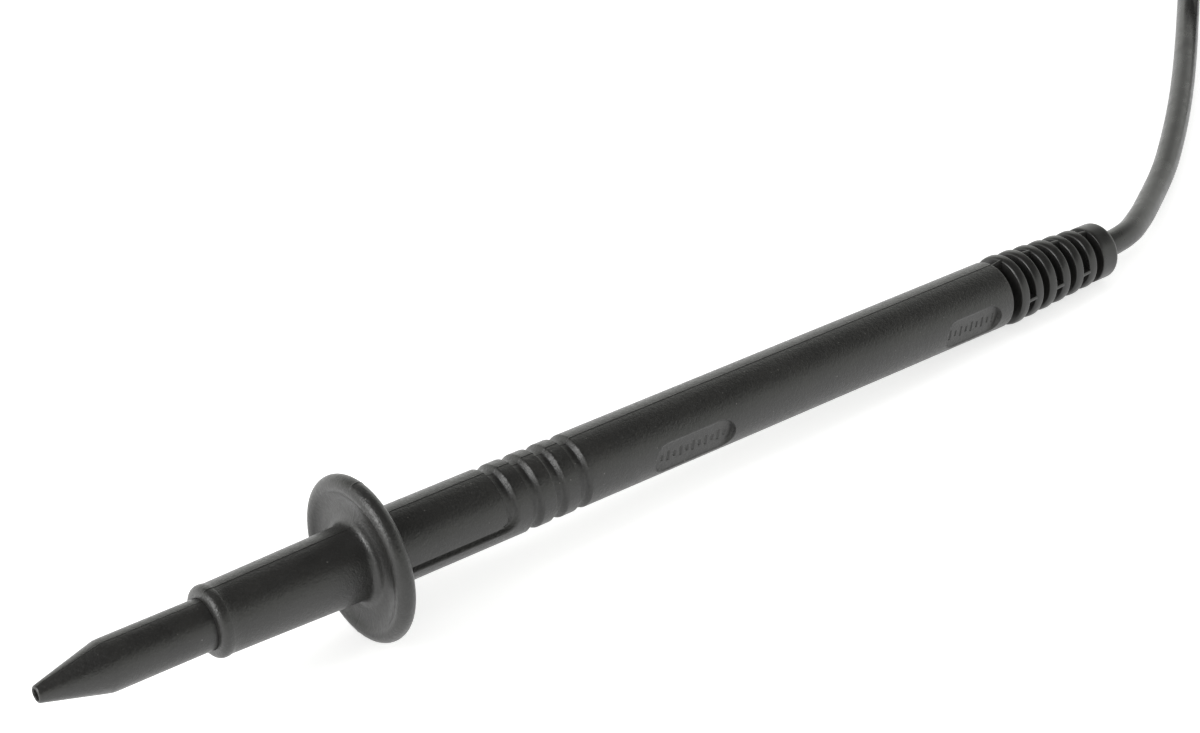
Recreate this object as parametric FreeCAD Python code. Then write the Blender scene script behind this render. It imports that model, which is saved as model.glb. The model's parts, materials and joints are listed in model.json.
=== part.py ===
import FreeCAD, Part
import math
import os

from FreeCAD import Placement, Rotation, Vector

# Hand-held safety test probe with a spring-loaded guard sleeve, a finger guard,
# a ribbed strain-relief boot, a single-core lead and a shrouded 4 mm plug.
#
# Every piece of the probe is drawn on its own axis: x = 0 at the sleeve's tip and
# +x towards the lead. laid_down() then sets it on the floor, where it rests on the
# guard disc's rim and on the boot collar. Millimetres throughout.

# ---------------------------------------------------------------- driving sizes

# barrel, the black handle moulding
MOUTH_X = 22.7
BARREL_LENGTH = 135.5
BARREL_WALL = 1.35
NOSE_WALL = 1.22
NOSE_END_STEP = 0.09
BEAD_HEIGHT = 0.11
BEAD_LENGTH = 1.5
BEAD_FADE = 0.3
MOUTH_ROUND = 1.0
END_ROUND = 0.3
MOUTH_LAND = 7.1

# finger guard disc, part of the barrel
GUARD_X = 45.45
GUARD_R = 11.33
GUARD_RIM = 1.3
GUARD_WEB = 0.75
GUARD_HUB = 1.2
GUARD_DISH = 0.45
RIM_FADE = 0.5
RIM_FADE_RISE = 0.12

# grip grooves and the side channels that join the first one to the guard
GROOVE_X = 65.9
GROOVE_PITCH = 3.95
GROOVE_COUNT = 4
GROOVE_LENGTH = 2.1
GROOVE_DEPTH = 0.7
# places along a groove and depths there, as shares of its length and depth
GROOVE_FRONT = (0.22, 0.72)
GROOVE_LOW = 0.62
GROOVE_WALL = (0.8, 0.35)
GROOVE_SHOULDER = (0.87, 0.08)
CHANNEL_START = 95.5
CHANNEL_SWEEP = 13.5
CHANNEL_DEPTH = 0.6

# flat marking pockets
POCKET_DEPTH = 0.7
POCKET_WIDTH = 4.6
POCKET_ANGLE = 98.0
LONG_POCKET_X = 96.6
LONG_POCKET_LENGTH = 14.0
SHORT_POCKET_X = 149.9
SHORT_POCKET_LENGTH = 11.2

# retractable sleeve
SLEEVE_WALL = 1.5
TIP_R = 1.15
TIP_ROUND = 0.3
CONE_LENGTH = 9.0
TIP_LAND = 2.5
CONE_BORE_LENGTH = 8.5
CONE_BORE_STEP = 0.1
FLANGE_STEP = 0.37
FLANGE_LENGTH = 2.5
SLEEVE_TRAVEL = 12.0
STOP_GAP = 0.05

# needle and its insulation
NEEDLE_TIP_R = 0.65
NEEDLE_R = 1.0
NEEDLE_SET_BACK = 1.5
NEEDLE_POINT = 2.2
NEEDLE_LENGTH = 92.0
INSULATION_WALL = 0.6
INSULATION_START_GAP = 1.0
INSULATION_END_GAP = 2.0

# return spring
SPRING_WIRE = 0.5
SPRING_COILS = 11
SPRING_LENGTH = 27.3
WASHER_THICKNESS = 0.8

# inside the handle
HOLDER_LENGTH = 18.0
FERRULE_WALL = 0.9
FERRULE_LENGTH = 14.0
SHRINK_WALL = 0.4
SHRINK_OVERHANG = 3.0
CORE_LENGTH = 8.0
CLAMP_LENGTH = 12.0
CLAMP_GAP = 5.0

# ribbed boot
SPIGOT_LENGTH = 12.0
RIB_COUNT = 6
RIB_PITCH = 3.1
RIB_LENGTH = 1.4
FIRST_RIB_STEP = 0.27
LAST_RIB_R = 4.6
RIB_ROUND = 0.35
BOOT_CORE_WALL = 0.87
BOOT_WEB = 0.6
WEB_ROOT = 0.4
WEB_END_STEP = 0.1
COLLAR_LENGTH = 3.5
COLLAR_R = 4.4
COLLAR_ROUND = 0.8

# lead, and the share of a straight run that a bend in it takes
LEAD_R = 2.0
BEND_SHARE = 0.45

# fits between pieces, as radial gaps
RUNNING_GAP = 0.05
SEAT_GAP = 0.03
NEEDLE_GAP = 0.08
SLEEVE_GAP = 0.25
STEP = 0.5

# how the probe lies: turned a little about its own axis
ROLL = -4.0

# put-away coil of the lead: its middle, measured from the boot's end, and its section
COIL_AHEAD = 125.81
COIL_SIDE = 50.7
COIL_R = 24.05
COIL_HALF_WIDTH = 8.15
COIL_HEIGHT = 7.6
COIL_EDGE = 0.8
TIE_ANGLE = 300.0
TIE_WIDTH = 8.0
TIE_THICKNESS = 0.6

# shrouded plug, which lies on the coil and points along +X
PLUG_SIDE = 19.5
PLUG_BACK = -25.0
PLUG_BOOT_LENGTH = 14.0
PLUG_BOOT_WALL = 0.97
PLUG_BOOT_STEP = 1.4
BOOT_GROOVE_PITCH = 3.0
BOOT_GROOVE_COUNT = 3
BOOT_GROOVE_LENGTH = 1.2
BOOT_GROOVE_DEPTH = 0.5
GRIP_LENGTH = 30.0
GRIP_R = 6.0
GRIP_WAIST = 0.7
GRIP_SHELL = 1.6
GRIP_BACK_ROUND = 1.0
GRIP_FRONT_ROUND = 0.6
GRIP_BAND = 3.0
GRIP_LIP = 1.5
GRIP_FLOOR = 2.5
SHROUD_LENGTH = 18.0
SHROUD_R = 4.3
SHROUD_WALL = 0.9
SHROUD_CHAMFER = 0.4
SHROUD_FLANGE = 1.2
PIN_R = 2.0
PIN_LENGTH = 15.0
PIN_NOSE = 0.6
PIN_ROOT_STEP = 0.3
PIN_ROOT = 2.0
PIN_FLANGE_R = 3.2
PIN_FLANGE = 2.0
CUP_R = 1.7
CUP_LENGTH = 9.0
CUP_FLOOR = 1.0
CORE_SET_IN = 1.0
LEAD_STRIP = 1.5

# ------------------------------------------------------- sizes that follow from them

AXIS = Vector(1, 0, 0)
UP = Vector(0, 0, 1)

# outwards from the needle: insulation, sleeve, its flange, the barrel's bore, its wall
INSULATION_R = NEEDLE_R + SEAT_GAP + INSULATION_WALL
SLEEVE_BORE_R = INSULATION_R + SLEEVE_GAP
SLEEVE_R = SLEEVE_BORE_R + SLEEVE_WALL
FLANGE_R = SLEEVE_R + FLANGE_STEP
LAND_R = SLEEVE_R + RUNNING_GAP
BORE_R = FLANGE_R + RUNNING_GAP
BARREL_R = BORE_R + BARREL_WALL
NOSE_R = LAND_R + NOSE_WALL
NOSE_END_R = BARREL_R - NOSE_END_STEP
FIRST_RIB_R = BARREL_R + FIRST_RIB_STEP
BOOT_CORE_R = LEAD_R + SEAT_GAP + BOOT_CORE_WALL

# along the probe
BARREL_END = MOUTH_X + BARREL_LENGTH
FIRST_GROOVE = GROOVE_X - GROOVE_LENGTH / 2
CHANNEL_END = CHANNEL_START + CHANNEL_SWEEP
LAND_END = MOUTH_X + MOUTH_LAND
FLANGE_X = LAND_END + STOP_GAP
SLEEVE_END = FLANGE_X + FLANGE_LENGTH
WASHER_X = SLEEVE_END + SEAT_GAP + SPRING_LENGTH + SEAT_GAP
HOLDER_X = WASHER_X + WASHER_THICKNESS
HOLDER_END = HOLDER_X + HOLDER_LENGTH
SPRING_MEAN_R = (BORE_R + INSULATION_R) / 2
NEEDLE_END = NEEDLE_SET_BACK + NEEDLE_LENGTH
FERRULE_X = NEEDLE_END - FERRULE_LENGTH / 2
FERRULE_END = FERRULE_X + FERRULE_LENGTH
FERRULE_R = NEEDLE_R + SEAT_GAP + FERRULE_WALL
CORE_END = NEEDLE_END + SEAT_GAP + CORE_LENGTH
CLAMP_X = CORE_END + CLAMP_GAP
BOOT_END = BARREL_END + (RIB_COUNT * RIB_PITCH) + (RIB_PITCH - RIB_LENGTH) + COLLAR_LENGTH
RIM_RING_R = GUARD_R - GUARD_RIM
COLLAR_RING_R = COLLAR_R - COLLAR_ROUND
REST_SPAN = BOOT_END - COLLAR_ROUND - GUARD_X
TILT = math.degrees(
    math.atan2(RIM_RING_R - COLLAR_RING_R, REST_SPAN)
    + math.asin((GUARD_RIM - COLLAR_ROUND) / math.hypot(REST_SPAN, RIM_RING_R - COLLAR_RING_R))
)
COIL_X = BOOT_END * math.cos(math.radians(TILT)) / 2 + COIL_AHEAD
PLUG_Z = COIL_HEIGHT + GRIP_R

# along the plug
GRIP_X = PLUG_BOOT_LENGTH
GRIP_END = GRIP_X + GRIP_LENGTH
SHROUD_END = GRIP_END + SHROUD_LENGTH
CORE_FACE = GRIP_END + CORE_SET_IN
FLANGE_FRONT = CORE_FACE - PIN_ROOT
FLANGE_BACK = FLANGE_FRONT - PIN_FLANGE
PIN_END = CORE_FACE + PIN_LENGTH
PIN_ROOT_R = PIN_R + PIN_ROOT_STEP
CUP_X = FLANGE_BACK - CUP_LENGTH
SHELL_R = GRIP_R - GRIP_SHELL
LEAD_STOP = CUP_X - LEAD_STRIP


# ----------------------------------------------------------------------- helpers

def laid_down():
    """Placement from the probe's own axis to the floor, with the middle over the origin."""
    tilt = math.radians(TILT)
    guard_height = RIM_RING_R * math.cos(tilt) + GUARD_RIM
    height = guard_height + GUARD_X * math.sin(tilt)
    middle = BOOT_END * math.cos(tilt) / 2
    turn = Rotation(Vector(0, 1, 0), TILT).multiply(Rotation(AXIS, ROLL))
    return Placement(Vector(-middle, 0, height), turn)


def plug_place():
    """Placement from the plug's own axis, x = 0 at its boot's small end, to where it lies."""
    return Placement(Vector(COIL_X + PLUG_BACK, COIL_SIDE + PLUG_SIDE, PLUG_Z), Rotation())


def outline_face(path):
    """A face in the x-z plane from a closed outline of (x, r) points.

    An entry of four numbers is an arc: (x, r) on its way and then (x, r) at its end.
    """
    points = [Vector(entry[-2], 0, entry[-1]) for entry in path]
    edges = []
    for index, entry in enumerate(path):
        start = points[index - 1]
        if len(entry) == 4:
            middle = Vector(entry[0], 0, entry[1])
            edges.append(Part.Arc(start, middle, points[index]).toShape())
        else:
            edges.append(Part.LineSegment(start, points[index]).toShape())
    return Part.Face(Part.Wire(Part.__sortEdges__(edges)))


def turned(path):
    """A solid turned right round the x axis."""
    return outline_face(path).revolve(Vector(0, 0, 0), AXIS, 360)


def turned_part_way(path, first, sweep):
    """A solid turned about the x axis from the angle first, through sweep, from the top to -y."""
    sector = outline_face(path).revolve(Vector(0, 0, 0), AXIS, sweep)
    sector.rotate(Vector(0, 0, 0), AXIS, first)
    return sector


def tube(start, end, outer, inner):
    """A plain ring or pipe on the x axis."""
    return turned([(start, inner), (start, outer), (end, outer), (end, inner)])


def rod(start, end, radius):
    return Part.makeCylinder(radius, end - start, Vector(start, 0, 0), AXIS)


def corner(x, r, size, x_way, r_way):
    """Arc entry that rounds an outer corner, met going towards it and left at its far side.

    The corner is at (x, r). x_way and r_way say on which side the material is.
    """
    bite = size * (1 - math.sqrt(0.5))
    return x + x_way * bite, r + r_way * bite


# ------------------------------------------------------------------------ barrel

def groove_outline(front):
    """One grip groove: crisp front edge, floor that deepens, steep rounded rear wall."""

    def at(place, depth):
        return front + GROOVE_LENGTH * place, BARREL_R - GROOVE_DEPTH * depth

    return [
        at(0, 0),
        at(*GROOVE_FRONT) + at(GROOVE_LOW, 1),
        at(*GROOVE_WALL),
        at(*GROOVE_SHOULDER) + at(1, 0),
    ]


def guard_outline():
    """The guard disc: hub fillet, dished front face, thick round rim, flat back."""
    front = GUARD_X - GUARD_RIM
    back = GUARD_X + GUARD_RIM
    web_front = GUARD_X - GUARD_WEB
    web_back = GUARD_X + GUARD_WEB
    rim_r = RIM_RING_R
    root_r = BARREL_R + GUARD_HUB
    dish_x = web_front + GUARD_DISH
    slope = math.sqrt(0.5)
    return [
        (web_front - GUARD_HUB, NOSE_END_R),
        (web_front - GUARD_HUB * (1 - slope), root_r - GUARD_HUB * slope, web_front, root_r),
        (dish_x, (root_r + rim_r) / 2, front + RIM_FADE_RISE, rim_r - RIM_FADE),
        (front + RIM_FADE_RISE / 6, rim_r - RIM_FADE * 0.4, front, rim_r),
        (GUARD_X, GUARD_R, back, rim_r),
        (web_back, rim_r - GUARD_RIM),
        (web_back, root_r),
        (web_back + GUARD_HUB * (1 - slope), root_r - GUARD_HUB * slope, web_back + GUARD_HUB, BARREL_R),
    ]


def barrel_body():
    bead_r = NOSE_R + BEAD_HEIGHT
    outline = [
        (MOUTH_X, LAND_R),
        (MOUTH_X, bead_r - MOUTH_ROUND),
        corner(MOUTH_X, bead_r, MOUTH_ROUND, 1, -1) + (MOUTH_X + MOUTH_ROUND, bead_r),
        (MOUTH_X + BEAD_LENGTH - BEAD_FADE, bead_r),
        (MOUTH_X + BEAD_LENGTH + BEAD_FADE, NOSE_R),
    ]
    outline += guard_outline()
    for index in range(1, GROOVE_COUNT):
        outline += groove_outline(FIRST_GROOVE + index * GROOVE_PITCH)
    outline += [
        (BARREL_END - END_ROUND, BARREL_R),
        corner(BARREL_END, BARREL_R, END_ROUND, -1, -1) + (BARREL_END, BARREL_R - END_ROUND),
        (BARREL_END, BORE_R),
        (LAND_END, BORE_R),
        (LAND_END, LAND_R),
    ]
    return turned(outline)


def first_groove():
    """The groove nearest the guard goes round the top and ends at the side channels."""
    high = BARREL_R + GROOVE_DEPTH
    outline = groove_outline(FIRST_GROOVE)
    outline += [(FIRST_GROOVE + GROOVE_LENGTH, high), (FIRST_GROOVE, high)]
    return turned_part_way(outline, -CHANNEL_END, 2 * CHANNEL_END)


def side_channels():
    """Two shallow channels along the sides, from the guard's root to the first groove."""
    start = GUARD_X + GUARD_WEB + GUARD_HUB
    end = FIRST_GROOVE + GROOVE_LENGTH * GROOVE_LOW
    low = BARREL_R - CHANNEL_DEPTH
    high = BARREL_R + CHANNEL_DEPTH
    outline = [(start, low), (end, low), (end, high), (start, high)]
    near = turned_part_way(outline, CHANNEL_START, CHANNEL_SWEEP)
    far = turned_part_way(outline, -CHANNEL_END, CHANNEL_SWEEP)
    return [near, far]


def marking_pocket(middle, length):
    """A flat-floored pocket with round ends, cut straight into the side of the barrel."""
    half = length / 2 - POCKET_WIDTH / 2
    side = POCKET_WIDTH / 2
    floor = BARREL_R - POCKET_DEPTH
    left = Part.LineSegment(Vector(middle - half, side, floor), Vector(middle + half, side, floor))
    right = Part.LineSegment(Vector(middle + half, -side, floor), Vector(middle - half, -side, floor))
    front = Part.Arc(
        Vector(middle + half, side, floor),
        Vector(middle + half + side, 0, floor),
        Vector(middle + half, -side, floor),
    )
    back = Part.Arc(
        Vector(middle - half, -side, floor),
        Vector(middle - half - side, 0, floor),
        Vector(middle - half, side, floor),
    )
    outline = Part.Wire([left.toShape(), front.toShape(), right.toShape(), back.toShape()])
    cutter = Part.Face(outline).extrude(Vector(0, 0, POCKET_WIDTH / 2))
    cutter.rotate(Vector(0, 0, 0), AXIS, POCKET_ANGLE)
    return cutter


def barrel():
    cuts = [first_groove()] + side_channels()
    cuts.append(marking_pocket(LONG_POCKET_X, LONG_POCKET_LENGTH))
    cuts.append(marking_pocket(SHORT_POCKET_X, SHORT_POCKET_LENGTH))
    return barrel_body().cut(cuts)


# ------------------------------------------------------------- sleeve and needle

def sleeve():
    tip_bore = NEEDLE_TIP_R + NEEDLE_GAP
    cone_bore = NEEDLE_R + NEEDLE_GAP + CONE_BORE_STEP
    cone_bore_end = TIP_LAND + CONE_BORE_LENGTH
    return turned([
        (0, tip_bore),
        (0, TIP_R - TIP_ROUND),
        corner(0, TIP_R, TIP_ROUND, 1, -1) + (TIP_ROUND, TIP_R),
        (CONE_LENGTH, SLEEVE_R),
        (FLANGE_X, SLEEVE_R),
        (FLANGE_X, FLANGE_R),
        (SLEEVE_END, FLANGE_R),
        (SLEEVE_END, SLEEVE_BORE_R),
        (cone_bore_end, SLEEVE_BORE_R),
        (cone_bore_end, cone_bore),
        (TIP_LAND, cone_bore),
        (TIP_LAND, tip_bore),
    ])


def needle():
    shoulder = TIP_LAND + SLEEVE_TRAVEL + STEP
    return turned([
        (NEEDLE_SET_BACK, 0),
        (NEEDLE_SET_BACK + NEEDLE_POINT, NEEDLE_TIP_R),
        (shoulder, NEEDLE_TIP_R),
        (shoulder + NEEDLE_R - NEEDLE_TIP_R, NEEDLE_R),
        (NEEDLE_END, NEEDLE_R),
        (NEEDLE_END, 0),
    ])


def needle_insulation():
    start = TIP_LAND + CONE_BORE_LENGTH + SLEEVE_TRAVEL + INSULATION_START_GAP
    return tube(start, HOLDER_END - INSULATION_END_GAP, INSULATION_R, NEEDLE_R + SEAT_GAP)


def return_spring():
    start = SLEEVE_END + SEAT_GAP + SPRING_WIRE / 2
    rise = SPRING_LENGTH - SPRING_WIRE
    helix = Part.makeHelix(rise / SPRING_COILS, rise, SPRING_MEAN_R)
    section = Part.Wire(Part.makeCircle(SPRING_WIRE / 2, Vector(SPRING_MEAN_R, 0, 0), Vector(0, 1, 0)))
    coil = Part.Wire(helix).makePipeShell([section], True, True)
    coil.Placement = Placement(Vector(start, 0, 0), Rotation(Vector(0, 1, 0), 90))
    return coil


def spring_washer():
    return tube(WASHER_X, HOLDER_X, BORE_R - SEAT_GAP, INSULATION_R + SEAT_GAP)


def needle_holder():
    return tube(HOLDER_X, HOLDER_END, BORE_R - SEAT_GAP, INSULATION_R + SEAT_GAP)


# ----------------------------------------------------------- lead inside the handle

def crimp_ferrule():
    return tube(FERRULE_X, FERRULE_END, FERRULE_R, NEEDLE_R + SEAT_GAP)


def ferrule_insulation():
    end = CORE_END + SHRINK_OVERHANG
    inner = max(FERRULE_R, LEAD_R) + SEAT_GAP
    return tube(FERRULE_X - SHRINK_OVERHANG, end, inner + SHRINK_WALL, inner)


def conductor():
    return rod(NEEDLE_END + SEAT_GAP, CORE_END, NEEDLE_R)


def lead_inside():
    return rod(CORE_END, BOOT_END, LEAD_R)


def cord_clamp():
    return tube(CLAMP_X, CLAMP_X + CLAMP_LENGTH, BORE_R - SEAT_GAP, LEAD_R + SEAT_GAP)


# -------------------------------------------------------------------------- boot

def rib_radius(index):
    return FIRST_RIB_R + (LAST_RIB_R - FIRST_RIB_R) * index / (RIB_COUNT - 1)


def boot_outline():
    outline = [(BARREL_END - SPIGOT_LENGTH, LEAD_R + SEAT_GAP)]
    outline.append((BARREL_END - SPIGOT_LENGTH, BORE_R - SEAT_GAP))
    outline.append((BARREL_END, BORE_R - SEAT_GAP))
    outline.append((BARREL_END, BOOT_CORE_R))
    for index in range(RIB_COUNT):
        back = BARREL_END + (index + 1) * RIB_PITCH
        front = back - RIB_LENGTH
        radius = rib_radius(index)
        outline.append((front, BOOT_CORE_R))
        outline.append((front, radius - RIB_ROUND))
        outline.append(corner(front, radius, RIB_ROUND, 1, -1) + (front + RIB_ROUND, radius))
        outline.append((back, radius))
        outline.append((back, BOOT_CORE_R))
    collar_x = BOOT_END - COLLAR_LENGTH
    outline.append((collar_x, BOOT_CORE_R))
    outline.append((collar_x, COLLAR_R))
    outline.append((BOOT_END - COLLAR_ROUND, COLLAR_R))
    outline.append(corner(BOOT_END, COLLAR_R, COLLAR_ROUND, -1, -1) + (BOOT_END, COLLAR_R - COLLAR_ROUND))
    outline.append((BOOT_END, LEAD_R + SEAT_GAP))
    return outline


def boot_webs():
    """Thin plates that join the ribs, upright in one gap and level in the next."""
    webs = []
    gap = RIB_PITCH - RIB_LENGTH
    for index in range(RIB_COUNT + 1):
        start = BARREL_END + index * RIB_PITCH
        reach = rib_radius(min(index, RIB_COUNT - 1)) - RIB_ROUND
        if index == 0:
            reach = BARREL_R - END_ROUND
        if index == RIB_COUNT:
            reach = COLLAR_R - WEB_END_STEP
        low = BOOT_CORE_R - WEB_ROOT
        plate = Part.makeBox(gap, BOOT_WEB, reach - low, Vector(start, -BOOT_WEB / 2, low))
        quarter = 90 * (index % 2)
        for half in (0, 180):
            web = plate.copy()
            web.rotate(Vector(0, 0, 0), AXIS, quarter + half)
            webs.append(web)
    return webs


def boot():
    return turned(boot_outline()).fuse(boot_webs()).removeSplitter()


# -------------------------------------------------------------------- free lead

def lead_exit():
    return laid_down().multVec(Vector(BOOT_END, 0, 0))


def lead_route():
    """The lead from the boot's collar to the coil: along the axis, down, then on the floor."""
    leaving = laid_down().Rotation.multVec(AXIS)
    start = lead_exit()
    x = COIL_X
    y = COIL_SIDE
    return [
        start,
        start + leaving * 6.2,
        Vector(x - 111.8, y - 47.1, LEAD_R + 1.3),
        Vector(x - 107.6, y - 44.7, LEAD_R + 0.8),
        Vector(x - 99.3, y - 40.0, LEAD_R + 0.1),
        Vector(x - 92.2, y - 35.6, LEAD_R),
        Vector(x - 78.4, y - 25.8, LEAD_R),
        Vector(x - 64.4, y - 14.8, LEAD_R),
        Vector(x - 46.0, y + 0.6, LEAD_R),
        Vector(x - 32.7, y + 11.9, LEAD_R),
        Vector(x - 19.3, y + 23.15, LEAD_R),
    ]


def tail_route():
    """The lead's other end: off the coil's top, round to the left and into the plug's boot."""
    x = COIL_X
    y = COIL_SIDE
    return [
        Vector(x - 19.9, y - 19.9, 5.6),
        Vector(x - 30.4, y - 12.2, 6.2),
        Vector(x - 40.6, y - 5.2, 7.2),
        Vector(x - 43.9, y + 2.9, 8.4),
        Vector(x - 42.8, y + 10.3, 10.4),
        Vector(x - 38.4, y + 16.3, 12.6),
        Vector(x - 32.0, y + PLUG_SIDE, PLUG_Z),
        Vector(x + PLUG_BACK, y + PLUG_SIDE, PLUG_Z),
    ]


def cord_along(points, radius):
    """A round cord along straight runs joined by tangent arcs. Prints its tightest bend."""
    edges = []
    bends = []
    start = points[0]
    for before, here, after in zip(points, points[1:], points[2:]):
        back = (before - here).normalize()
        ahead = (after - here).normalize()
        half_turn = (math.pi - back.getAngle(ahead)) / 2
        cut = BEND_SHARE * min((here - before).Length, (after - here).Length)
        bend = cut / math.tan(half_turn)
        bends.append(bend)
        arc_start = here + back * cut
        arc_end = here + ahead * cut
        centre = here + (back + ahead).normalize() * math.hypot(bend, cut)
        middle = centre + (here - centre).normalize() * bend
        edges.append(Part.LineSegment(start, arc_start).toShape())
        edges.append(Part.Arc(arc_start, middle, arc_end).toShape())
        start = arc_end
    edges.append(Part.LineSegment(start, points[-1]).toShape())
    path = Part.Wire(edges)
    section = Part.Wire(Part.makeCircle(radius, points[0], points[1] - points[0]))
    solid = path.makePipeShell([section], True, True)
    length = sum(edge.Length for edge in edges)
    print("cord length", round(length, 1), "tightest bend", round(min(bends), 1))
    print("cord volume / section x length", round(solid.Volume / (math.pi * radius**2 * length), 4))
    return solid


def lead_free():
    return cord_along(lead_route(), LEAD_R)


def lead_tail():
    return cord_along(tail_route(), LEAD_R)


def coil_section(extra):
    """Outline of the wound lead's section, grown by extra all round but never under the floor."""
    inner = COIL_R - COIL_HALF_WIDTH - extra
    outer = COIL_R + COIL_HALF_WIDTH + extra
    shoulder = LEAD_R + COIL_EDGE
    top = COIL_HEIGHT + extra
    inset = LEAD_R
    points = [
        Vector(inner, 0, 0),
        Vector(outer, 0, 0),
        Vector(outer, 0, shoulder),
        Vector(outer - inset, 0, top),
        Vector(inner + inset, 0, top),
        Vector(inner, 0, shoulder),
    ]
    return Part.Face(Part.makePolygon(points + points[:1]))


def coil_sweep(extra, degrees):
    return coil_section(extra).revolve(Vector(0, 0, 0), UP, degrees)


def coil_ring():
    ring = coil_sweep(0, 360)
    ring.translate(Vector(COIL_X, COIL_SIDE, 0))
    return ring


def cord_tie():
    """A strap round the wound lead at one side."""
    radius = COIL_R + COIL_HALF_WIDTH
    sweep = math.degrees(TIE_WIDTH / radius)
    floor_strip = Part.makeCylinder(2 * radius, TIE_THICKNESS)
    hollow = coil_sweep(0, sweep).cut(floor_strip)
    strap = coil_sweep(TIE_THICKNESS, sweep).cut(hollow)
    strap.rotate(Vector(0, 0, 0), UP, TIE_ANGLE - sweep / 2)
    strap.translate(Vector(COIL_X, COIL_SIDE, 0))
    return strap


def lead_coil():
    return coil_ring().cut(cord_tie())


# -------------------------------------------------------------------------- plug

def plug_pin():
    """The 4 mm contact pin with its flange and the cup that the core is crimped into."""
    return turned([
        (CUP_X, NEEDLE_R + SEAT_GAP),
        (CUP_X, CUP_R),
        (FLANGE_BACK, CUP_R),
        (FLANGE_BACK, PIN_FLANGE_R),
        (FLANGE_FRONT, PIN_FLANGE_R),
        (FLANGE_FRONT, PIN_ROOT_R),
        (CORE_FACE, PIN_ROOT_R),
        (CORE_FACE, PIN_R),
        (PIN_END - PIN_NOSE, PIN_R),
        (PIN_END, PIN_R - PIN_NOSE),
        (PIN_END, 0),
        (FLANGE_BACK - CUP_FLOOR, 0),
        (FLANGE_BACK - CUP_FLOOR, NEEDLE_R + SEAT_GAP),
    ])


def plug_core():
    """Insulator that fills the grip's shell behind and round the pin's flange."""
    return turned([
        (CUP_X, CUP_R + SEAT_GAP),
        (CUP_X, SHELL_R - SEAT_GAP),
        (CORE_FACE, SHELL_R - SEAT_GAP),
        (CORE_FACE, PIN_ROOT_R + SEAT_GAP),
        (FLANGE_FRONT, PIN_ROOT_R + SEAT_GAP),
        (FLANGE_FRONT, PIN_FLANGE_R),
        (FLANGE_BACK, PIN_FLANGE_R),
        (FLANGE_BACK, CUP_R + SEAT_GAP),
    ])


def plug_shroud():
    """Fixed insulating shroud round the pin, with a flange held in the grip's shell."""
    inner = SHROUD_R - SHROUD_WALL
    flange_end = CORE_FACE + SHROUD_FLANGE
    return turned([
        (CORE_FACE, inner),
        (CORE_FACE, SHELL_R - SEAT_GAP),
        (flange_end, SHELL_R - SEAT_GAP),
        (flange_end, SHROUD_R),
        (SHROUD_END - SHROUD_CHAMFER, SHROUD_R),
        (SHROUD_END, SHROUD_R - SHROUD_CHAMFER),
        (SHROUD_END, inner),
    ])


def plug_grip():
    """Waisted finger grip: a shell that holds the core and the shroud's flange."""
    waist = GRIP_R - GRIP_WAIST
    lip = CORE_FACE + SHROUD_FLANGE + SEAT_GAP
    end = lip + GRIP_LIP
    middle = (GRIP_X + end) / 2
    back = corner(GRIP_X, GRIP_R, GRIP_BACK_ROUND, 1, -1)
    front = corner(end, GRIP_R, GRIP_FRONT_ROUND, -1, -1)
    return turned([
        (GRIP_X, LEAD_R + SEAT_GAP),
        (GRIP_X, GRIP_R - GRIP_BACK_ROUND),
        back + (GRIP_X + GRIP_BACK_ROUND, GRIP_R),
        (GRIP_X + GRIP_BAND, GRIP_R),
        (middle, waist, end - GRIP_BAND, GRIP_R),
        (end - GRIP_FRONT_ROUND, GRIP_R),
        front + (end, GRIP_R - GRIP_FRONT_ROUND),
        (end, SHROUD_R + SEAT_GAP),
        (lip, SHROUD_R + SEAT_GAP),
        (lip, SHELL_R),
        (CUP_X - GRIP_FLOOR, SHELL_R),
        (CUP_X - GRIP_FLOOR, LEAD_R + SEAT_GAP),
    ])


def plug_boot():
    """Soft tapered sleeve at the plug's cord end, with grooves that let it bend."""
    bore = LEAD_R + SEAT_GAP
    thin = bore + PLUG_BOOT_WALL
    thick = GRIP_R - PLUG_BOOT_STEP
    slope = (thick - thin) / PLUG_BOOT_LENGTH
    outline = [(0, bore), (0, thin)]
    for index in range(BOOT_GROOVE_COUNT):
        start = BOOT_GROOVE_PITCH * (index + 1)
        end = start + BOOT_GROOVE_LENGTH
        floor = thin + slope * start - BOOT_GROOVE_DEPTH
        outline.append((start, thin + slope * start))
        outline.append((start, floor))
        outline.append((end, floor))
        outline.append((end, thin + slope * end))
    outline.append((PLUG_BOOT_LENGTH, thick))
    outline.append((PLUG_BOOT_LENGTH, bore))
    return turned(outline)


def plug_lead_end():
    return rod(0, LEAD_STOP, LEAD_R)


def plug_conductor():
    return rod(LEAD_STOP, FLANGE_BACK - CUP_FLOOR - STEP, NEEDLE_R)


# ------------------------------------------------------------------------ output

PROBE_PIECES = {
    "barrel": barrel,
    "guard_sleeve": sleeve,
    "needle": needle,
    "needle_insulation": needle_insulation,
    "return_spring": return_spring,
    "spring_washer": spring_washer,
    "needle_holder": needle_holder,
    "crimp_ferrule": crimp_ferrule,
    "ferrule_insulation": ferrule_insulation,
    "conductor": conductor,
    "lead_inside": lead_inside,
    "cord_clamp": cord_clamp,
    "boot": boot,
}

PLUG_PIECES = {
    "plug_pin": plug_pin,
    "plug_core": plug_core,
    "plug_shroud": plug_shroud,
    "plug_grip": plug_grip,
    "plug_boot": plug_boot,
    "plug_lead_end": plug_lead_end,
    "plug_conductor": plug_conductor,
}

CORD_PIECES = {
    "lead_free": lead_free,
    "lead_coil": lead_coil,
    "lead_tail": lead_tail,
    "cord_tie": cord_tie,
}


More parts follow.
